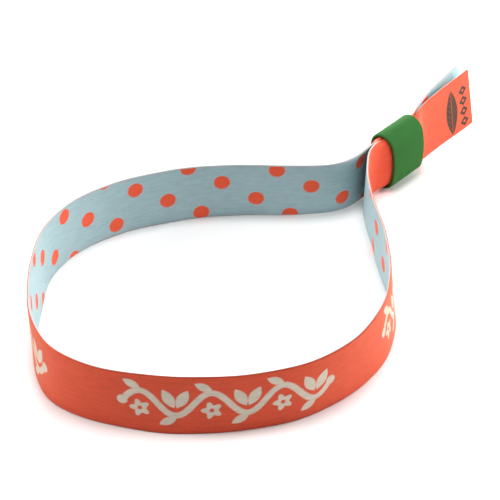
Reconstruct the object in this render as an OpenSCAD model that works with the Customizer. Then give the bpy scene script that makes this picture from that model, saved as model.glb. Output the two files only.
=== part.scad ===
// Festival wristband: one woven ribbon, standing on its lower edge, whose two ends
// run side by side through a moulded slide lock. Millimetres, +Z up, the floor at
// Z = 0, the origin in the middle of the wrist opening and +X along the lock.

/* [Ribbon] */
// Width of the ribbon across its weave
ribbon_w = 14.8; // [13.6:0.1:14.8]
// Thickness of the ribbon's wall
ribbon_t = 1.0; // [0.4:0.1:1.0]
// How far the ribbon's middle bows out where the lock squeezes its edges
bow_depth = 2.05; // [1.5:0.05:2.2]
// Gap between the squeezed ribbon's edges and the lock's hole
edge_gap = 0.7; // [0.7:0.1:1.0]

/* [Slide lock] */
// Length of the lock along the ribbon
lock_l = 11.2; // [10.4:0.1:11.4]
// Radius of the two narrow ends of the lock's oval section, which sets its height and thickness
lock_end_r = 3.5; // [3.5:0.05:4.0]
// Thickness of the lock's wall
lock_wall = 0.7; // [0.6:0.1:0.7]
// Tilt of the lock about its own length, its top towards the front tail
lock_roll = 2.5; // [0:0.5:6]
// Rise of the lock from its mouth to its tail end, in degrees
lock_pitch = 2.5; // [2:0.1:2.5]
// Where the lock's mouth is along X
mouth_x = 65.4; // [65.0:0.1:65.4]
// Where the lock's middle plane is along Y
lock_y = 6.05; // [6.0:0.05:6.2]

/* [Hidden] */

// Sections that the ribbon's surface has for each row of its route
steps = 4;
// Points across each face of the ribbon
across = 9;
lock_facets = 96;

// The ribbon's route, from the front tail's free end, through the lock, clockwise
// round the wrist as seen from above, and back through the lock to the rear tail.
// The middle line is a smooth curve drawn to these rows. Columns: x and y of the middle
// line, how far it is lifted off the floor, its lean in degrees with the top
// towards the ribbon's outer face, and how much it is bowed, from 0 for flat
// to 1 for squeezed by the lock.
route = [
    // front tail
    [101.3, 7.6, 1.15, -7.5, 0],
    [95, 7.3, 1, -5.5, 0],
    [89.5, 7, 0.85, -4, 0],
    [84.5, 6.7, 0.7, -3, 0],
    [81.2, 6.3, 0.6, -2, 0],
    // front strand in the lock
    [79.6, 6, 0.6, -1, 0.15],
    [78.4, 5.75, 0.6, 0, 0.65],
    [77, 5.7, 0.57, 2, 1],
    [75.4, 5.7, 0.51, 2.5, 1],
    [70, 5.7, 0.27, 2.5, 1],
    [65.6, 5.7, 0.07, 2.5, 1],
    [64, 5.7, 0, 3, 0.85],
    // out of the mouth and along the front
    [61, 5.2, 0, 4, 0.15],
    [56.8, 4.1, 0, 4, 0],
    [50.8, -1.4, 0, 0, 0],
    [44.4, -8.3, 0, -3, 0],
    [36.2, -18, 0, 1.5, 0],
    [26.6, -29.6, 0, -5.5, 0],
    [14.1, -38, 0, -4, 0],
    [-1, -41.5, 0, 4, 0],
    // round the left end
    [-16.1, -38.6, 0, 4.5, 0],
    [-28.3, -29.8, 0, 2.5, 0],
    [-38, -18.8, 0, -1, 0],
    [-44, -6.1, 0, 3.5, 0],
    [-46, 7.1, 0, -2, 0],
    [-36.7, 20.7, 0, 3, 0],
    [-23.4, 31.9, 0, 6, 0],
    // along the back and into the mouth
    [-10.3, 41.5, 0, -1, 0],
    [6.2, 41.8, 0, -2.5, 0],
    [20.3, 35.7, 0, -2, 0],
    [32.3, 26.8, 0, -4.5, 0],
    [41.5, 15.1, 0, -7, 0],
    [48, 7.5, 0, -9, 0],
    [54.6, 5.5, 0, -8, 0],
    [60.4, 6.5, 0, -6, 0.3],
    // rear strand in the lock
    [64, 6.45, 0, -3, 0.9],
    [65.6, 6.4, 0.07, -2.5, 1],
    [70, 6.4, 0.27, -2.5, 1],
    [75.4, 6.4, 0.51, -2.5, 1],
    [77, 6.5, 0.57, -2.5, 1],
    [78.4, 7, 0.61, -2, 0.65],
    // rear tail
    [79.8, 7.6, 0.6, 0, 0.15],
    [81.8, 8.1, 0.65, 1, 0],
    [85.2, 8.7, 0.75, 4, 0],
    [90, 9.4, 0.85, 8, -0.1],
    [95.5, 10, 0.97, 12, -0.3],
    [101.2, 10.5, 1.1, 15, -0.3],
];

// The lock's oval is four arcs: a narrow one at each end and a broad one on each side, which
// meet where their tangents agree. The narrow ends' centres lie end_y from the middle, and the
// broad sides bulge out past the narrow ends by side_bulge. These two give the broad arcs a
// round radius and centre, 19.8 from the middle, so that the four arcs close exactly.
end_y = 4;
side_bulge = 0.4;
side_x = (end_y * end_y - side_bulge * side_bulge) / (2 * side_bulge);
side_r = side_x + side_bulge + lock_end_r;
meet_angle = atan2(end_y, side_x);

bowed_half_h = end_y + lock_end_r - lock_wall - edge_gap;

// The route's lifts suit an end radius of 3.5. In a larger lock the squeezed ribbon is raised
// by the difference, to keep to the lock's middle.
lock_raise = lock_end_r - 3.5;

// The lock stands on the lower lip of its mouth, which gives the height of the mouth's middle.
lip_r = lock_wall / 2;
mouth_z = (end_y * cos(lock_roll) + lock_end_r - lip_r) * cos(lock_pitch) + lip_r * (1 - sin(lock_pitch));

// Smooth curve through the rows: a uniform cubic B-spline, with one more row added
// in line at each end so that it starts and stops at the table's first and last rows.
last = len(route) - 1;
held = concat([2 * route[0] - route[1]], route, [2 * route[last] - route[last - 1]]);

function blend(t) = [pow(1 - t, 3), 3 * t * t * t - 6 * t * t + 4,
    -3 * t * t * t + 3 * t * t + 3 * t + 1, t * t * t] / 6;
function slope(t) = [-pow(1 - t, 2), 3 * t * t - 4 * t, -3 * t * t + 2 * t + 1, t * t] / 2;
function mix(weights, i) = weights[0] * held[i] + weights[1] * held[i + 1]
    + weights[2] * held[i + 2] + weights[3] * held[i + 3];
function unit(v) = v / norm(v);

// One point of the ribbon. across_u runs from -1 at the lower edge to 1 at the upper edge, and
// off is the distance from the middle surface towards the outer face.
function flat_share(bow) = 1 - bow * bow;
function rise(u, bow) = ribbon_w / 2 * flat_share(bow) * u + bow * bow * bowed_half_h * sin(90 * u);
function bulge(u, bow) = bow * bow_depth * cos(90 * u);
function rise_slope(u, bow) =
    ribbon_w / 2 * flat_share(bow) + bow * bow * bowed_half_h * cos(90 * u) * PI / 2;
function bulge_slope(u, bow) = -bow * bow_depth * sin(90 * u) * PI / 2;

function section_point(u, off, bow) =
    let (n = unit([rise_slope(u, bow), -bulge_slope(u, bow)]))
    [bulge(u, bow) + off * n[0], rise(u, bow) + off * n[1]];

// The section's outline: up the outer face and down the inner one
function section(bow) = concat(
    [for (k = [0:across - 1]) section_point(2 * k / (across - 1) - 1, ribbon_t / 2, bow)],
    [for (k = [across - 1:-1:0]) section_point(2 * k / (across - 1) - 1, -ribbon_t / 2, bow)]);

// The section set on the route, upright across it and leaned by the row's angle
function ring(row, heading) =
    let (
        along = unit([heading[0], heading[1], heading[2]]),
        left = unit([-along[1], along[0], 0]),
        up = cross(along, left),
        lean = row[3],
        out = left * cos(lean) - up * sin(lean),
        tall = up * cos(lean) + left * sin(lean),
        base = [row[0], row[1], ribbon_w / 2 + row[2] + lock_raise * max(row[4], 0)]
    )
    [for (p = section(row[4])) base + out * p[0] + tall * p[1]];

stations = last * steps + 1;

function ring_at(n) =
    let (i = min(floor(n / steps), last - 1), t = n / steps - i)
    ring(mix(blend(t), i), mix(slope(t), i));

module band() {
    size = 2 * across;
    points = [for (n = [0:stations - 1]) each ring_at(n)];
    sides = [for (n = [0:stations - 2], k = [0:size - 1])
        let (a = n * size + k, b = n * size + (k + 1) % size)
        [a, b, b + size, a + size]];
    first_end = [for (k = [size - 1:-1:0]) k];
    last_end = [for (k = [0:size - 1]) (stations - 1) * size + k];
    color("coral") polyhedron(points, concat([first_end, last_end], sides));
}

// The lock's wall cut across: a plain strip with a full round at each lip
module wall_profile(outer_r) {
    translate([outer_r - lock_wall, lip_r]) square([lock_wall, lock_l - lock_wall]);
    for (y = [lip_r, lock_l - lip_r])
        translate([outer_r - lip_r, y]) circle(lip_r, $fn = 32);
}

module wall_arc(outer_r, from_angle, sweep) {
    rotate(from_angle) rotate_extrude(angle = sweep, $fn = lock_facets) wall_profile(outer_r);
}

module closure() {
    color("seagreen")
        translate([mouth_x, lock_y, mouth_z]) rotate([lock_roll, -lock_pitch, 0]) rotate([90, 0, 90])
            for (side = [0, 180]) rotate(side) {
                translate([-side_x, 0]) wall_arc(side_r, -meet_angle, 2 * meet_angle);
                translate([0, end_y]) wall_arc(lock_end_r, meet_angle, 180 - 2 * meet_angle);
            }
}

band();
closure();
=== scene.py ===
"""Festival wristband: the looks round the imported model.

Metres, +Z up, the floor at Z = 0, +X along the lock. Two pieces are made here: the printed satin
ribbon, swept in mesh code along the source's route, and the moulded slide lock. The light and
the camera are the photograph's.
"""
import math

import bpy
import numpy as np
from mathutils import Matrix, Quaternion, Vector


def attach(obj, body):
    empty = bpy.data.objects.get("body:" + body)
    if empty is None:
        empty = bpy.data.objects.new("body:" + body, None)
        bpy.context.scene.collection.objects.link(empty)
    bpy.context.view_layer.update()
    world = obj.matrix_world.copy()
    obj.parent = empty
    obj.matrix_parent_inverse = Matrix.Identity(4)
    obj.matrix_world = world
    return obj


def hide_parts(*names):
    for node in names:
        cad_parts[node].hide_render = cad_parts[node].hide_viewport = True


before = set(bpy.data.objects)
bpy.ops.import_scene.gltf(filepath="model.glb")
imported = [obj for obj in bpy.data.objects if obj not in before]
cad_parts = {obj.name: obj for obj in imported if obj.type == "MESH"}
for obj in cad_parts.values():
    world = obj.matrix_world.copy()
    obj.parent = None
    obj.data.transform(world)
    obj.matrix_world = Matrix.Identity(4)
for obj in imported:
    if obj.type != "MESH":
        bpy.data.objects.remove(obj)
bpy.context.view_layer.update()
scene = bpy.context.scene
MM = 0.001


def deselect():
    bpy.ops.object.select_all(action="DESELECT")


# Camera and light

# Lengths of the camera are millimetres, but for its clipping.
CAMERA_TARGET = Vector((26.03, 12.66, -0.28))
CAMERA_AZIMUTH = -48.0
CAMERA_ELEVATION = 34.0
CAMERA_ROLL = -0.77
CAMERA_DISTANCE = 620.0
CAMERA_LENS = 194.78
CAMERA_SENSOR = 36.0
CAMERA_CLIP = (0.01, 20.0)

# Name, azimuth, elevation, distance and width in metres, and power in watts of each light
SOFTBOXES = (
    ("overhead light", 0, 89, 1.0, 0.5, 8.5),
    ("rear right light", 140, 12, 1.0, 0.5, 14.5),
    ("rear left light", -140, 26, 1.0, 0.5, 5.5),
    ("front right light", 30, 12, 1.0, 0.5, 2.3),
    ("lock light", 60, 20, 0.42, 0.2, 1.06),
    ("tail light", 100, 20, 0.42, 0.2, 0.75),
)


def outward(azimuth, elevation):
    """The direction from the object to something seen from there; azimuth 0 is in front, at -Y."""
    a, e = math.radians(azimuth), math.radians(elevation)
    return Vector((math.sin(a) * math.cos(e), -math.cos(a) * math.cos(e), math.sin(e)))


def add_camera():
    """The photograph's camera: a long lens, from the front left and above."""
    back = outward(CAMERA_AZIMUTH, CAMERA_ELEVATION)
    data = bpy.data.cameras.new("camera")
    data.lens = CAMERA_LENS
    data.sensor_width = CAMERA_SENSOR
    data.clip_start, data.clip_end = CAMERA_CLIP
    camera = bpy.data.objects.new("camera", data)
    scene.collection.objects.link(camera)
    camera.location = (CAMERA_TARGET + back * CAMERA_DISTANCE) * MM
    camera.rotation_mode = "QUATERNION"
    roll = Quaternion((0, 0, 1), math.radians(CAMERA_ROLL))
    camera.rotation_quaternion = (-back).to_track_quat("-Z", "Y") @ roll
    scene.camera = camera


def add_softbox(name, azimuth, elevation, distance, width, power):
    """A round light that points at the origin."""
    data = bpy.data.lights.new(name, "AREA")
    data.shape = "DISK"
    data.size = width
    data.energy = power
    light = bpy.data.objects.new(name, data)
    scene.collection.objects.link(light)
    way = outward(azimuth, elevation)
    light.location = way * distance
    light.rotation_euler = (-way).to_track_quat("-Z", "Y").to_euler()


def light_studio():
    """The lights, and a white backdrop."""
    for softbox in SOFTBOXES:
        add_softbox(*softbox)
    world = bpy.data.worlds.new("studio")
    world.use_nodes = True
    scene.world = world
    sky = world.node_tree.nodes["Background"]
    sky.inputs["Color"].default_value = (1, 1, 1, 1)
    # the paper backdrop is seen white, and gives no light of its own
    path = world.node_tree.nodes.new("ShaderNodeLightPath")
    world.node_tree.links.new(path.outputs["Is Camera Ray"], sky.inputs["Strength"])
    scene.view_settings.view_transform = "Standard"


# Shader maths

# A Mix node's sockets for colours, which share their names with its other kinds
MIX_FIRST, MIX_SECOND, MIX_COLOUR = 6, 7, 2


class Wire:
    """A socket of a finish. Arithmetic on it adds Math nodes."""

    def __init__(self, finish, socket):
        self.finish, self.socket = finish, socket

    def __add__(self, other):
        return self.finish.maths("ADD", self, other)

    def __sub__(self, other):
        return self.finish.maths("SUBTRACT", self, other)

    def __rsub__(self, other):
        return self.finish.maths("SUBTRACT", other, self)

    def __mul__(self, other):
        return self.finish.maths("MULTIPLY", self, other)

    def __truediv__(self, other):
        return self.finish.maths("DIVIDE", self, other)

    def __abs__(self):
        return self.finish.maths("ABSOLUTE", self)

    __radd__, __rmul__ = __add__, __mul__


class Finish:
    """One material. Every node in it comes from the method node."""

    def __init__(self, name):
        self.material = bpy.data.materials.new(name)
        self.material.use_nodes = True
        self.tree = self.material.node_tree
        self.tree.nodes.clear()

    def node(self, kind, settings=None, inputs=None, output=0):
        """A new node with its settings, then the values or links of its sockets; gives one output."""
        made = self.tree.nodes.new("ShaderNode" + kind)
        for key, value in (settings or {}).items():
            setattr(made, key, value)
        for key, value in (inputs or {}).items():
            if isinstance(value, Wire):
                self.tree.links.new(value.socket, made.inputs[key])
            else:
                made.inputs[key].default_value = value
        return Wire(self, made.outputs[output]) if made.outputs else None

    def maths(self, operation, *values):
        return self.node("Math", {"operation": operation}, dict(enumerate(values)))

    def sine(self, angle):
        return self.maths("SINE", angle)

    def cosine(self, angle):
        return self.maths("COSINE", angle)

    def larger(self, a, b):
        return self.maths("MAXIMUM", a, b)

    def wrapped(self, value, half):
        """value folded into the range from -half to half, for a pattern that repeats."""
        return self.maths("WRAP", value, half, -half)

    def hypot(self, a, b):
        return self.maths("SQRT", a * a + b * b)

    def within(self, distance, softness):
        """1 where distance is below nought, with a soft edge as wide as softness."""
        return self.node(
            "MapRange",
            {"interpolation_type": "SMOOTHSTEP"},
            {"Value": distance, "From Min": softness / 2, "From Max": -softness / 2},
        )

    def stretch(self, place, middle, half, softness):
        """1 where place is up to half away from middle, with soft ends."""
        return self.within(abs(place - middle) - half, softness)

    def noise(self, place, scale, detail, roughness=0.5):
        inputs = {"Vector": place, "Scale": scale, "Detail": detail, "Roughness": roughness}
        return self.node("TexNoise", None, inputs)

    def bump(self, height, strength, distance):
        return self.node("Bump", None, {"Height": height, "Strength": strength, "Distance": distance})

    def point(self, x, y, z=0.0):
        return self.node("CombineXYZ", None, {0: x, 1: y, 2: z})

    def mixed(self, share, first, second):
        """Colour first where share is 0 and second where it is 1."""
        settings = {"data_type": "RGBA", "clamp_factor": True}
        inputs = {"Factor": share, MIX_FIRST: first, MIX_SECOND: second}
        return self.node("Mix", settings, inputs, MIX_COLOUR)

    def shaded(self, share, colour, darkest):
        """colour multiplied down to darkest where share is 1."""
        settings = {"data_type": "RGBA", "blend_type": "MULTIPLY"}
        grey = (darkest, darkest, darkest, 1)
        inputs = {"Factor": share, MIX_FIRST: colour, MIX_SECOND: grey}
        return self.node("Mix", settings, inputs, MIX_COLOUR)

    def surface(self, **sockets):
        """The material, with its shader's sockets given by their names in small letters."""
        inputs = {}
        for key, value in sockets.items():
            inputs[key.replace("_", " ").title().replace("Ior", "IOR")] = value
        shader = self.node("BsdfPrincipled", None, inputs)
        self.node("OutputMaterial", None, {"Surface": shader})
        return self.material


# The ribbon

# Lengths here are millimetres.
RIBBON_WIDTH = 14.8
CLOTH_THICKNESS = 0.5
HALF_WIDTH = RIBBON_WIDTH / 2
HALF_CLOTH = CLOTH_THICKNESS / 2
FACE_END = HALF_WIDTH - HALF_CLOTH  # across the cloth, where a face ends and its rounded edge starts
BOW_DEPTH = 2.05
BOWED_HALF_HEIGHT = 6.25
BOW_FULLNESS = 0.7  # under 1, the squeezed cloth fills the lock's oval out to its corners
LEAST_STEEP = 0.05  # keeps the fuller bow's slope finite at its edges

# The cloth is thinner than the solid, so near the lock it is set towards the other strand, and
# inside the lock its middle is pressed out to the wall and its edges in.
LOCK_NEARS = (55.0, 63.0)  # where, along X, the two strands start to lie close together
SET_CLOSER = 0.25
MIDDLE_OUT = 0.55
EDGES_IN = 0.05

# Slow waves of the whole cloth, as heights, lengths, slant and starts, and quick ones of its edges
WAVE_HEIGHT = 0.09
WAVE_LENGTHS = (5.7, 13.3)
WAVE_SLANT = 0.13
WAVE_STARTS = (0.6, 1.1)
EDGE_WAVE_HEIGHT = 0.05
EDGE_WAVE_LENGTH = 2.3
EDGE_WAVE_START = 0.4

STATION_STEP = 0.7
FACE_POINTS = 29
ROUND_POINTS = 5
MEASURES_PER_ROW = 40
CLOTH_SMOOTH_BELOW = 50.0

# The map of the cloth laid flat: each face in so many rows, and the share of a row that is filled
MAP_ROWS = 4
MAP_ROW_END = 0.01
MAP_HALF_ROW = 0.46
MAP_HALF_WIDTH = 7.8
MAP_HALF_EDGE = 0.39
INNER_BELOW = -0.95  # a polygon whose side is below this takes the inner finish

# The source's route, from the front tail through the lock, clockwise round the wrist and back
# to the rear tail: x, y, lift, lean of the top towards the outer face, and bow in the lock.
ROUTE = [
    # front tail
    (101.3, 7.6, 1.15, -7.5, 0),
    (95, 7.3, 1, -5.5, 0),
    (89.5, 7, 0.85, -4, 0),
    (84.5, 6.7, 0.7, -3, 0),
    (81.2, 6.3, 0.6, -2, 0),
    # front strand in the lock
    (79.6, 6, 0.6, -1, 0.15),
    (78.4, 5.75, 0.6, 0, 0.65),
    (77, 5.7, 0.57, 2, 1),
    (75.4, 5.7, 0.51, 2.5, 1),
    (70, 5.7, 0.27, 2.5, 1),
    (65.6, 5.7, 0.07, 2.5, 1),
    (64, 5.7, 0, 3, 0.85),
    # out of the mouth and along the front
    (61, 5.2, 0, 4, 0.15),
    (56.8, 4.1, 0, 4, 0),
    (50.8, -1.4, 0, 0, 0),
    (44.4, -8.3, 0, -3, 0),
    (36.2, -18, 0, 1.5, 0),
    (26.6, -29.6, 0, -5.5, 0),
    (14.1, -38, 0, -4, 0),
    (-1, -41.5, 0, 4, 0),
    # round the left end
    (-16.1, -38.6, 0, 4.5, 0),
    (-28.3, -29.8, 0, 2.5, 0),
    (-38, -18.8, 0, -1, 0),
    (-44, -6.1, 0, 3.5, 0),
    (-46, 7.1, 0, -2, 0),
    (-36.7, 20.7, 0, 3, 0),
    (-23.4, 31.9, 0, 6, 0),
    # along the back and into the mouth
    (-10.3, 41.5, 0, -1, 0),
    (6.2, 41.8, 0, -2.5, 0),
    (20.3, 35.7, 0, -2, 0),
    (32.3, 26.8, 0, -4.5, 0),
    (41.5, 15.1, 0, -7, 0),
    (48, 7.5, 0, -9, 0),
    (54.6, 5.5, 0, -8, 0),
    (60.4, 6.5, 0, -6, 0.3),
    # rear strand in the lock
    (64, 6.45, 0, -3, 0.9),
    (65.6, 6.4, 0.07, -2.5, 1),
    (70, 6.4, 0.27, -2.5, 1),
    (75.4, 6.4, 0.51, -2.5, 1),
    (77, 6.5, 0.57, -2.5, 1),
    (78.4, 7, 0.61, -2, 0.65),
    # rear tail
    (79.8, 7.6, 0.6, 0, 0.15),
    (81.8, 8.1, 0.65, 1, 0),
    (85.2, 8.7, 0.75, 4, 0),
    (90, 9.4, 0.85, 8, -0.1),
    (95.5, 10, 0.97, 12, -0.3),
    (101.2, 10.5, 1.1, 15, -0.3),
]


def on_route(stations):
    """Rows of the smooth curve, and their slopes, at places counted in rows."""
    rows = np.array(ROUTE, float)
    held = np.vstack([2 * rows[0] - rows[1], rows, 2 * rows[-1] - rows[-2]])
    first = np.minimum(stations.astype(int), len(rows) - 2)
    t = stations - first
    blend = [(1 - t) ** 3, 3 * t**3 - 6 * t**2 + 4, -3 * t**3 + 3 * t**2 + 3 * t + 1, t**3]
    slope = [-((1 - t) ** 2), 3 * t**2 - 4 * t, -3 * t**2 + 2 * t + 1, t**2]
    four = held[first[:, None] + np.arange(4)]
    on_curve = np.einsum("nk,nkc->nc", np.stack(blend, 1) / 6, four)
    slopes = np.einsum("nk,nkc->nc", np.stack(slope, 1) / 2, four)
    return on_curve, slopes


def unit(vectors):
    return vectors / np.linalg.norm(vectors, axis=-1, keepdims=True)


def section_frames(stations):
    """Where each section stands, its outward and upward directions, and its bow."""
    rows, slopes = on_route(stations)
    along = unit(slopes[:, :3])
    left = unit(np.stack([-along[:, 1], along[:, 0], 0 * along[:, 0]], 1))
    up = np.cross(along, left)
    lean = np.radians(rows[:, 3])[:, None]
    out = left * np.cos(lean) - up * np.sin(lean)
    tall = up * np.cos(lean) + left * np.sin(lean)
    base = rows[:, :3] + [0, 0, HALF_WIDTH]
    return base, out, tall, rows[:, 4]


def ripple(s, v):
    """Slight unevenness of the stiff cloth, s along it and v across."""
    slow = WAVE_HEIGHT * np.sin(s / WAVE_LENGTHS[0] + WAVE_SLANT * v + WAVE_STARTS[0])
    slow = slow * np.sin(s / WAVE_LENGTHS[1] + WAVE_STARTS[1])
    edge = EDGE_WAVE_HEIGHT * np.sin(s / EDGE_WAVE_LENGTH + EDGE_WAVE_START * np.sign(v))
    return slow + edge * (v / HALF_WIDTH) ** 2


def ribbon_rings():
    """Closed outlines of the cloth, one for each station, with each point's along, across and side.

    An outline goes up the outer face, over the upper edge, down the inner face and under the
    lower edge. side is 1 on the outer face, -1 on the inner one, and between them on the edges.
    """
    dense = np.linspace(0, len(ROUTE) - 1, MEASURES_PER_ROW * len(ROUTE))
    path = on_route(dense)[0][:, :3]
    length = np.concatenate([[0], np.cumsum(np.linalg.norm(np.diff(path, axis=0), axis=1))])
    count = int(round(length[-1] / STATION_STEP)) + 1
    s = np.linspace(0, length[-1], count)
    base, out, tall, bow = section_frames(np.interp(s, length, dense))

    face = np.linspace(-1, 1, FACE_POINTS)
    turn = np.linspace(0, math.pi, ROUND_POINTS + 2)[1:-1]
    ones = np.ones(FACE_POINTS)
    round_ones = np.ones(ROUND_POINTS)
    u = np.concatenate([face, round_ones, face[::-1], -round_ones])
    side = np.concatenate([ones, np.cos(turn), -ones, -np.cos(turn)])
    beyond = np.concatenate([0 * face, np.sin(turn), 0 * face, -np.sin(turn)]) * HALF_CLOTH

    flat = (1 - bow**2)[:, None] * FACE_END
    squeezed = (bow**2)[:, None] * BOWED_HALF_HEIGHT
    quarter = u * math.pi / 2
    z = flat * u + squeezed * np.sin(quarter)
    full = np.cos(quarter).clip(0, 1) ** BOW_FULLNESS
    near = (base[:, 0] - LOCK_NEARS[0]) / (LOCK_NEARS[1] - LOCK_NEARS[0])
    near = np.clip(near, 0, 1)[:, None]
    pressed = bow.clip(0, 1)[:, None]
    shift = MIDDLE_OUT * pressed * full - EDGES_IN * pressed - SET_CLOSER * near * (1 - pressed)
    y = bow[:, None] * BOW_DEPTH * full + shift
    dz = flat + squeezed * np.cos(quarter) * math.pi / 2
    steep = BOW_FULLNESS * np.cos(quarter).clip(LEAST_STEEP, 1) ** (BOW_FULLNESS - 1)
    dy = -bow[:, None] * BOW_DEPTH * np.sin(quarter) * steep * math.pi / 2
    size = np.hypot(dz, dy)
    loose = (1 - bow[:, None] ** 2).clip(0, 1)
    off = HALF_CLOTH * side + ripple(s[:, None], HALF_WIDTH * u) * loose
    y, z = y + (off * dz + beyond * dy) / size, z + (-off * dy + beyond * dz) / size
    points = base[:, None] + out[:, None] * y[..., None] + tall[:, None] * z[..., None]

    across = FACE_END * u + beyond
    cloth = np.stack(np.broadcast_arrays(s[:, None], across, side), -1)
    return points, cloth


def make_ribbon(outer_finish, inner_finish):
    """The swept cloth as one closed mesh, with its places as an attribute and its flat map."""
    points, cloth = ribbon_rings()
    count, size = points.shape[:2]
    n, k = np.meshgrid(np.arange(count - 1), np.arange(size), indexing="ij")
    a, b = n * size + k, n * size + (k + 1) % size
    sides = np.stack([a, b, b + size, a + size], -1).reshape(-1, 4)
    # each cut end is closed by a row of quads, and by one polygon inside each rounded edge
    inner = 2 * FACE_POINTS + ROUND_POINTS - 1
    low = np.arange(FACE_POINTS - 1)
    cap = np.stack([low, inner - low, inner - low - 1, low + 1], -1)
    far = cap[:, ::-1] + (count - 1) * size
    top = list(range(FACE_POINTS - 1, FACE_POINTS + ROUND_POINTS + 1))
    bottom = list(range(inner, size)) + [0]
    faces = sides.tolist() + cap.tolist() + far.tolist()
    for painted_edge_shade in (top, bottom):
        faces.append(painted_edge_shade[::-1])
        faces.append([p + (count - 1) * size for p in painted_edge_shade])
    mesh = bpy.data.meshes.new("printed_ribbon")
    mesh.from_pydata((points.reshape(-1, 3) * MM).tolist(), [], faces)
    places = mesh.attributes.new("cloth", "FLOAT_VECTOR", "POINT")
    places.data.foreach_set("vector", cloth.astype(np.float32).ravel())
    lay_out(mesh, cloth.reshape(-1, 3))
    mesh.materials.append(outer_finish)
    mesh.materials.append(inner_finish)
    mesh.validate()
    ribbon = bpy.data.objects.new("printed_ribbon", mesh)
    scene.collection.objects.link(ribbon)
    deselect()
    ribbon.select_set(True)
    bpy.context.view_layer.objects.active = ribbon
    bpy.ops.object.mode_set(mode="EDIT")
    bpy.ops.mesh.select_all(action="SELECT")
    bpy.ops.mesh.normals_make_consistent(inside=False)
    bpy.ops.object.mode_set(mode="OBJECT")
    bpy.ops.object.shade_smooth_by_angle(angle=math.radians(CLOTH_SMOOTH_BELOW))
    deselect()
    return ribbon


def lay_out(mesh, cloth):
    """A map of the cloth laid flat, for whatever needs one, and which finish each polygon takes."""
    layer = mesh.uv_layers.new(name="OFBake")
    corners = np.empty(len(mesh.loops), int)
    mesh.loops.foreach_get("vertex_index", corners)
    owner = np.repeat(np.arange(len(mesh.polygons)), [p.loop_total for p in mesh.polygons])
    totals = np.bincount(owner)
    s, v, side = cloth[corners].T
    middle_s = np.bincount(owner, s) / totals
    middle_side = np.bincount(owner, side) / totals
    row_length = cloth[:, 0].max() / MAP_ROWS
    row = np.minimum(middle_s // row_length, MAP_ROWS - 1)[owner]
    inner = (middle_side < 0)[owner]
    mesh.polygons.foreach_set("material_index", (middle_side < INNER_BELOW).astype(np.int32))
    u = MAP_ROW_END + (1 - 2 * MAP_ROW_END) * (s - row * row_length) / row_length
    around = v + np.sign(v) * MAP_HALF_EDGE * (1 - np.abs(side))
    w = row + MAP_ROWS * inner + 0.5 + MAP_HALF_ROW * around / MAP_HALF_WIDTH
    layer.uv.foreach_set("vector", np.stack([u, w / (2 * MAP_ROWS)], 1).astype(np.float32).ravel())


# The print

# Places along the ribbon are millimetres from the front tail's end, and places across it
# millimetres above its middle. A stretch is its middle, its half length and how soft it ends.
CORAL = (0.80, 0.093, 0.041, 1)
VINE_CREAM = (0.76, 0.68, 0.56, 1)
MARK_BLACK = (0.022, 0.020, 0.014, 1)
EDGE_BLUE = (0.44, 0.56, 0.57, 1)
LIGHT_BLUE = (0.44, 0.605, 0.635, 1)
SELVEDGE_PINK = (0.66, 0.36, 0.30, 1)
DOT_CORAL = (1.0, 0.12, 0.05, 1)
# how dark the uneven tone and the painted shade of grooves and edges go
SHADE_AND_TONE_DARKEST = 0.45
DOT_SHADE_AND_TONE_DARKEST = 0.7

SOFT_EDGE = 0.4
NEAT_EDGE = 0.35
FINE_EDGE = 0.3

DOT_AT = (273.15, -0.95)
DOT_STEPS = (7.88, -4.745), (4.93, 8.217)  # from one dot to its two neighbours, along and across
DOT_RADIUS = 1.88
DOT_CREEP = 0.25
# The print runs a little askew along the front, it lags a little round the left end, and the
# lock's gathers take up some of it: where each of these fades, over what length, and its shift
FRONT_FADE, FRONT_SHIFT = (160, 130), (2.95, 3.9)
LEFT_FADE, LEFT_SHIFT = (222, 60), 2.6
GATHER_FADE, GATHER_SHIFT = (332, 12), 5.4
BARE_STRETCH = (50, 8.5, 0.5)  # where the front strand goes into the lock

VINE_PITCH = 65.5
VINE_MIDDLE = 149.5
VINE_HALF = 22.5
VINE_WAVE = 15.0
VINE_SWING = 2.9
VINE_LIFT = 0.4
LOOP_STRETCH = (182.2, 131.0, 0.5)
STEM_HALF = 0.72
STEM_CREEP = 0.2
STEM_KNOB = 1.15
BLOSSOM_DROP = 1.6
BLOSSOM_RADIUS = 1.8
BLOSSOM_EYE = 0.5
PETALS = 5.0
PETAL_DEPTH = 0.45
# Where each leaf grows in a wave, its centre from there, its half length, half width and angle
VINE_LEAVES = (
    ("trough", (-1.45, 1.3), 2.6, 1.2, 118),
    ("trough", (1.45, 1.3), 2.6, 1.2, 62),
    ("crest", (1.6, 4.4), 2.1, 0.95, 28),
    ("trough", (1.6, -4.4), 2.1, 0.95, -28),
)

MARK_LEAF = ((7.9, -0.8), 6.2, 2.25, 90)
RIB_HALF, RIB_EDGE, RIB_SHARE = 0.08, 0.16, 0.8
VEIN_HALF, VEIN_EDGE, VEIN_SHARE = 0.05, 0.14, 0.4
VEIN_SLANT, VEIN_PITCH = 0.8, 1.5
DIAMOND_AT = (3.1, 0.35)
DIAMOND_PITCH = 2.8
DIAMOND_HALF, DIAMOND_EDGE = (1.7, 1.3), 0.2
PIP_HALF, PIP_EDGE = (0.55, 0.4), 0.5
DIAMOND_COLUMN = (-1.05, 5.6, 0.1)


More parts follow.
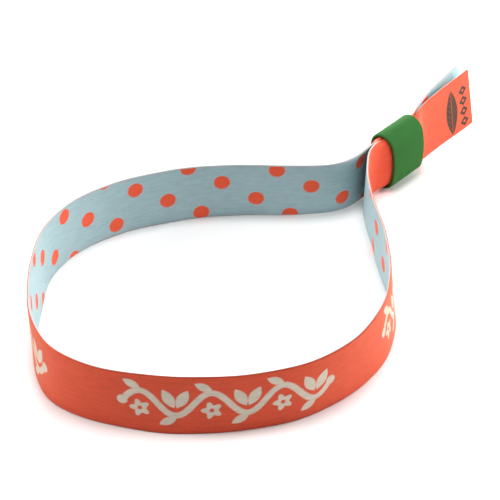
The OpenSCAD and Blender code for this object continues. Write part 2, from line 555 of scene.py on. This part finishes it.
def polka_dots(f, along, across, creep):
    """The inner face's dots: a lattice close to square, turned on the ribbon."""
    (ax, ay), (bx, by) = DOT_STEPS
    front = f.within(along - FRONT_FADE[0], FRONT_FADE[1])
    gathered = f.within(GATHER_FADE[0] - along, GATHER_FADE[1])
    left = f.within(along - LEFT_FADE[0], LEFT_FADE[1])
    x = along - DOT_AT[0] + front * FRONT_SHIFT[0] - left * LEFT_SHIFT + gathered * GATHER_SHIFT
    y = across - DOT_AT[1] - front * FRONT_SHIFT[1]
    det = ax * by - ay * bx
    a = f.wrapped((x * by - y * bx) / det, 0.5)
    b = f.wrapped((y * ax - x * ay) / det, 0.5)
    reach = f.hypot(a * ax + b * bx, a * ay + b * by)
    dots = f.within(reach - DOT_RADIUS + creep * DOT_CREEP, SOFT_EDGE)
    return dots * (1 - f.stretch(along, *BARE_STRETCH))


def leaf(f, x, y, centre, half_length, half_width, angle):
    """A leaf with two pointed ends, turned about its centre, and the places along and across it."""
    c, s = math.cos(math.radians(angle)), math.sin(math.radians(angle))
    dx, dy = x - centre[0], y - centre[1]
    p, q = dx * c + dy * s, dy * c - dx * s
    t = p / half_length
    return f.within(abs(q) / half_width - 1 + t * t, FINE_EDGE / half_width), p, q


def running_vine(f, along, across, creep):
    """A running stem with blossoms and leaves in its bays, once in each repeat round the loop."""
    x = f.wrapped(along - VINE_MIDDLE, VINE_PITCH / 2)
    y = across - VINE_LIFT
    beat = 2 * math.pi / VINE_WAVE
    tilt = f.cosine(x * beat) * (VINE_SWING * beat)
    away = abs(y - f.sine(x * beat) * VINE_SWING) / f.hypot(tilt, 1.0)
    vine = f.within(away - STEM_HALF + creep * STEM_CREEP, SOFT_EDGE)

    # a blossom under each crest
    crest = f.wrapped(x - VINE_WAVE / 4, VINE_WAVE / 2)
    low = y + BLOSSOM_DROP
    reach = f.hypot(crest, low)
    petals = f.cosine(f.maths("ARCTAN2", low, crest) * PETALS)
    blossom = f.within(reach - BLOSSOM_RADIUS - petals * PETAL_DEPTH, SOFT_EDGE)
    vine = f.larger(vine, blossom * f.within(BLOSSOM_EYE - reach, NEAT_EDGE))

    # two leaves rising from each trough, and a small one beside each turn of the stem
    trough = f.wrapped(x + VINE_WAVE / 4, VINE_WAVE / 2)
    turns = {"crest": crest, "trough": trough}
    for turn, *shape in VINE_LEAVES:
        vine = f.larger(vine, leaf(f, turns[turn], y, *shape)[0])

    # the stem ends in a small knob
    vine = vine * f.within(abs(x) - VINE_HALF, SOFT_EDGE)
    knobs = f.within(f.hypot(abs(x) - VINE_HALF, y) - STEM_KNOB, NEAT_EDGE)
    return f.larger(vine, knobs) * f.stretch(along, *LOOP_STRETCH)


def tail_mark(f, along, across):
    """A dark leaf and a column of small diamonds near the front tail's end."""
    blade, p, q = leaf(f, along, across, *MARK_LEAF)
    rib = f.within(abs(q) - RIB_HALF, RIB_EDGE)
    vein = f.wrapped(p - abs(q) * VEIN_SLANT, VEIN_PITCH / 2)
    veins = f.within(abs(vein) - VEIN_HALF, VEIN_EDGE)
    blade = blade * (1 - rib * RIB_SHARE) * (1 - veins * VEIN_SHARE)
    x = abs(along - DIAMOND_AT[0])
    y = abs(f.wrapped(across - DIAMOND_AT[1], DIAMOND_PITCH / 2))
    diamond = f.within(x / DIAMOND_HALF[0] + y / DIAMOND_HALF[1] - 1, DIAMOND_EDGE)
    pip = f.within(x / PIP_HALF[0] + y / PIP_HALF[1] - 1, PIP_EDGE)
    return f.larger(blade, diamond * f.stretch(across, *DIAMOND_COLUMN) * (1 - pip))


# The cloth's finishes

# How quickly each kind of unevenness changes along and across the cloth
CREEP_PACE = (0.6, 2.2)
MOTTLE_PACE = (0.35, 1.1)
STREAK_PACE = (0.22, 3.2)
FACES_APART = 5.0  # gives the two faces different mottle and streaks
THREAD_PITCH = 0.42
FLOAT_LENGTH = 1.5
FLOAT_STAGGER = 0.4
WALE_DEPTH = 0.7
WEFT_HALF, WEFT_EDGE, WEFT_DEPTH = 0.1, 0.14, 0.35
WEAVE_RELIEF, STREAK_RELIEF = 0.6, 0.5
CLOTH_ROUGHNESS, STREAK_ROUGHNESS = 0.52, 0.18
# the weave's share darkens the colour in its grooves: painted shade
UNEVEN_SHARE, WEAVE_SHADE_SHARE, TONE_START = 0.5, 0.22, 0.12

# The cut edge is coral and blue by halves, and shows more of the blue where the lock bends it
# and along the back.
BENT_STRETCH, BENT_BLUE = (41, 11, 8), 0.6
REAR_STRETCH, REAR_BLUE = (282, 36, 20), 0.85
EDGE_BLUE_SHARE = 0.9
# Along the front the edge's colour is darkened as painted shade, for it catches less light where the
# cloth leans in.
FRONT_EDGE_SHADE_STRETCH = (145, 40, 20)
SHADED_RIM_SIDE, SHADED_RIM_SOFTNESS, RIM_SHADE_SHARE = 0.93, 0.1, 0.8
SELVEDGE_AT, SELVEDGE_SHARE = 7.05, 0.3


def satin_cloth(f):
    """What both faces of the ribbon share: the places on it, the ink's creep, its uneven tone with
    painted shade in the weave's grooves, and its weave.
    """
    cloth = f.node("Attribute", {"attribute_name": "cloth"}, output="Vector")
    along, across, side = (f.node("SeparateXYZ", None, {"Vector": cloth}, axis) for axis in "XYZ")

    # ink creeps a little along the threads, so that the edges of the print aren't perfectly even
    place = f.point(along * CREEP_PACE[0], across * CREEP_PACE[1])
    creep = f.noise(place, 1.0, detail=3.0) - 0.5
    face = side * FACES_APART
    place = f.point(along * MOTTLE_PACE[0], across * MOTTLE_PACE[1], face)
    mottle = f.noise(place, 1.0, detail=3.0, roughness=0.6)
    place = f.point(along * STREAK_PACE[0], across * STREAK_PACE[1], face)
    streak = f.noise(place, 1.0, detail=2.0, roughness=0.55)

    # the weave: fine warp threads along the ribbon, each with staggered long floats
    thread = across / THREAD_PITCH
    wale = abs(f.sine(thread * math.pi))
    float_end = f.wrapped(along / FLOAT_LENGTH + f.maths("FLOOR", thread) * FLOAT_STAGGER, 0.5)
    dip = f.within(abs(float_end) - WEFT_HALF, WEFT_EDGE)
    weave = wale * WALE_DEPTH + (1 - WALE_DEPTH) - dip * WEFT_DEPTH

    # uneven dye at random, plus painted shade: the colour darkened in the weave's grooves
    tone_and_groove_shade = (mottle - 0.5) * UNEVEN_SHARE + (streak - 0.5) * UNEVEN_SHARE
    tone_and_groove_shade = tone_and_groove_shade + (1 - weave) * WEAVE_SHADE_SHARE + TONE_START
    roughness = CLOTH_ROUGHNESS + streak * STREAK_ROUGHNESS
    relief = weave * WEAVE_RELIEF + streak * STREAK_RELIEF
    bump = f.bump(relief, strength=0.35, distance=0.0001)
    return along, across, side, creep, tone_and_groove_shade, roughness, bump


def coral_face():
    """The outer face and the two edges: coral, with the off-white vine and the tail's dark mark."""
    f = Finish("coral printed satin")
    along, across, side, creep, tone_and_groove_shade, roughness, bump = satin_cloth(f)
    colour = f.mixed(running_vine(f, along, across, creep), CORAL, VINE_CREAM)
    colour = f.mixed(tail_mark(f, along, across), colour, MARK_BLACK)
    bent = f.stretch(along, *BENT_STRETCH)
    rear = f.stretch(along, *REAR_STRETCH)
    edge = f.within(side - bent * BENT_BLUE - rear * REAR_BLUE, FINE_EDGE)
    colour = f.mixed(edge * EDGE_BLUE_SHARE, colour, EDGE_BLUE)
    # painted shade: the cut edges' colour darkened along the front
    painted_edge_shade = f.within(abs(side) - SHADED_RIM_SIDE, SHADED_RIM_SOFTNESS) * f.stretch(along, *FRONT_EDGE_SHADE_STRETCH)
    colour = f.shaded(painted_edge_shade * RIM_SHADE_SHARE, colour, SHADE_AND_TONE_DARKEST)
    # the base colour carries painted shade in the weave's grooves, besides the uneven tone
    return f.surface(
        base_color=f.shaded(tone_and_groove_shade, colour, SHADE_AND_TONE_DARKEST),
        roughness=roughness,
        specular_ior_level=0.15,
        normal=bump,
        sheen_weight=0.35,
        sheen_roughness=0.5,
        sheen_tint=(1.0, 0.5, 0.28, 1),
    )


def blue_face():
    """The inner face: light blue with coral dots."""
    f = Finish("blue dotted satin")
    along, across, _, creep, tone_and_groove_shade, roughness, bump = satin_cloth(f)
    selvedge = f.within(SELVEDGE_AT - abs(across), FINE_EDGE)
    ground = f.mixed(selvedge * SELVEDGE_SHARE, LIGHT_BLUE, SELVEDGE_PINK)
    # painted shade in the weave's grooves darkens the blue and the dots, besides the uneven tone
    ground = f.shaded(tone_and_groove_shade, ground, SHADE_AND_TONE_DARKEST)
    dots = f.shaded(tone_and_groove_shade, DOT_CORAL, DOT_SHADE_AND_TONE_DARKEST)
    return f.surface(
        base_color=f.mixed(polka_dots(f, along, across, creep), ground, dots),
        roughness=roughness,
        specular_ior_level=0.15,
        normal=bump,
        sheen_weight=0.1,
        sheen_roughness=0.4,
    )


# The slide lock

# Lengths here are millimetres.
LOCK_LENGTH = 11.2
LOCK_HEIGHT = 15.0
LOCK_THICKNESS = 7.8
LOCK_END_RADIUS = 3.5
LOCK_WALL = 0.7
LOCK_ROLL = math.radians(2.5)
LOCK_PITCH = math.radians(2.5)
LOCK_MOUTH = 65.4
LOCK_MIDDLE = 6.05
LIP_BEVEL = 0.4999 * LOCK_WALL
LIP_SEGMENTS = 8
BROAD_STEPS, NARROW_STEPS = 18, 36
MERGE_BELOW = 0.002
LOCK_SMOOTH_BELOW = 40.0
LOCK_GREENS = (0.032, 0.132, 0.030, 1), (0.038, 0.150, 0.036, 1)
CLOUD_SCALE, GRAIN_SCALE = 260.0, 5200.0
CLOUD_RELIEF = 0.8
LOCK_ROUGHNESS, CLOUD_ROUGHNESS = 0.72, 0.12


def make_lock(finish):
    """The oval tube: a strip of wall with rounded lips, spun about the oval's four arc centres."""
    end_z = LOCK_HEIGHT / 2 - LOCK_END_RADIUS
    bulge = LOCK_THICKNESS - 2 * LOCK_END_RADIUS
    side_radius = (LOCK_THICKNESS**2 / 4 + end_z**2 - LOCK_END_RADIUS**2) / bulge
    side_y = side_radius - LOCK_THICKNESS / 2
    meet = math.atan2(end_z, side_y)
    middle = side_radius - LOCK_WALL / 2

    deselect()
    bpy.ops.mesh.primitive_plane_add(
        size=1,
        location=(0, (middle * math.cos(meet) - side_y) * MM, -middle * math.sin(meet) * MM),
        rotation=(-meet, 0, 0),
    )
    lock = bpy.context.object
    lock.name = lock.data.name = "slide_lock"
    lock.scale = (LOCK_LENGTH * MM, LOCK_WALL * MM, 1)
    bpy.ops.object.transform_apply(location=True, rotation=True, scale=True)
    bpy.ops.object.mode_set(mode="EDIT")
    bpy.ops.mesh.select_all(action="SELECT")
    bpy.ops.mesh.bevel(affect="VERTICES", offset=LIP_BEVEL * MM, segments=LIP_SEGMENTS)
    bpy.ops.mesh.delete(type="ONLY_FACE")
    bpy.ops.mesh.select_all(action="SELECT")
    broad, narrow = 2 * meet, math.pi - 2 * meet
    for steps, angle, centre in (
        (BROAD_STEPS, broad, (0, -side_y, 0)),
        (NARROW_STEPS, narrow, (0, 0, end_z)),
        (BROAD_STEPS, broad, (0, side_y, 0)),
        (NARROW_STEPS, narrow, (0, 0, -end_z)),
    ):
        bpy.ops.mesh.spin(steps=steps, angle=angle, center=Vector(centre) * MM, axis=(-1, 0, 0))
    bpy.ops.mesh.select_all(action="SELECT")
    bpy.ops.mesh.remove_doubles(threshold=MERGE_BELOW * MM)
    bpy.ops.mesh.normals_make_consistent(inside=False)
    bpy.ops.object.mode_set(mode="OBJECT")
    # it stands on the lower lip of its mouth, its tail end a little higher
    lip = LOCK_WALL / 2
    mouth_z = (end_z * math.cos(LOCK_ROLL) + LOCK_END_RADIUS - lip) * math.cos(LOCK_PITCH)
    mouth_z += lip * (1 - math.sin(LOCK_PITCH))
    reach, rise = LOCK_LENGTH / 2 * math.cos(LOCK_PITCH), LOCK_LENGTH / 2 * math.sin(LOCK_PITCH)
    lock.rotation_euler = (LOCK_ROLL, -LOCK_PITCH, 0)
    lock.location = Vector((LOCK_MOUTH + reach, LOCK_MIDDLE, mouth_z + rise)) * MM
    bpy.ops.object.transform_apply(location=True, rotation=True, scale=True)
    bpy.ops.object.shade_smooth_by_angle(angle=math.radians(LOCK_SMOOTH_BELOW))
    lock.data.materials.append(finish)
    deselect()
    return lock


def lock_plastic():
    """Green plastic, faintly cloudy, with a fine grain."""
    f = Finish("green satin plastic")
    place = f.node("TexCoord", output="Object")
    cloudy = f.noise(place, CLOUD_SCALE, detail=3.0, roughness=0.6)
    grain = f.noise(place, GRAIN_SCALE, detail=2.0, roughness=0.6)
    return f.surface(
        base_color=f.mixed(cloudy, *LOCK_GREENS),
        roughness=LOCK_ROUGHNESS + cloudy * CLOUD_ROUGHNESS,
        specular_ior_level=0.04,
        normal=f.bump(grain + cloudy * CLOUD_RELIEF, strength=0.25, distance=0.00005),
    )


# The floor

FLOOR_SIZE = 1.1
FLOOR_PALE = (0.92, 0.92, 0.92, 1)


def lay_floor():
    """The studio's pale floor, which is no part of the object."""
    deselect()
    bpy.ops.mesh.primitive_plane_add(size=FLOOR_SIZE, location=(0, 0, 0))
    made = bpy.context.object
    made.name = made.data.name = "floor"
    f = Finish("pale floor")
    made.data.materials.append(f.surface(base_color=FLOOR_PALE, roughness=0.9))
    return made


add_camera()
light_studio()
floor = lay_floor()

ribbon = make_ribbon(coral_face(), blue_face())
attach(ribbon, "root")
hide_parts("band")
lock = make_lock(lock_plastic())
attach(lock, "root")
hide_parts("closure")
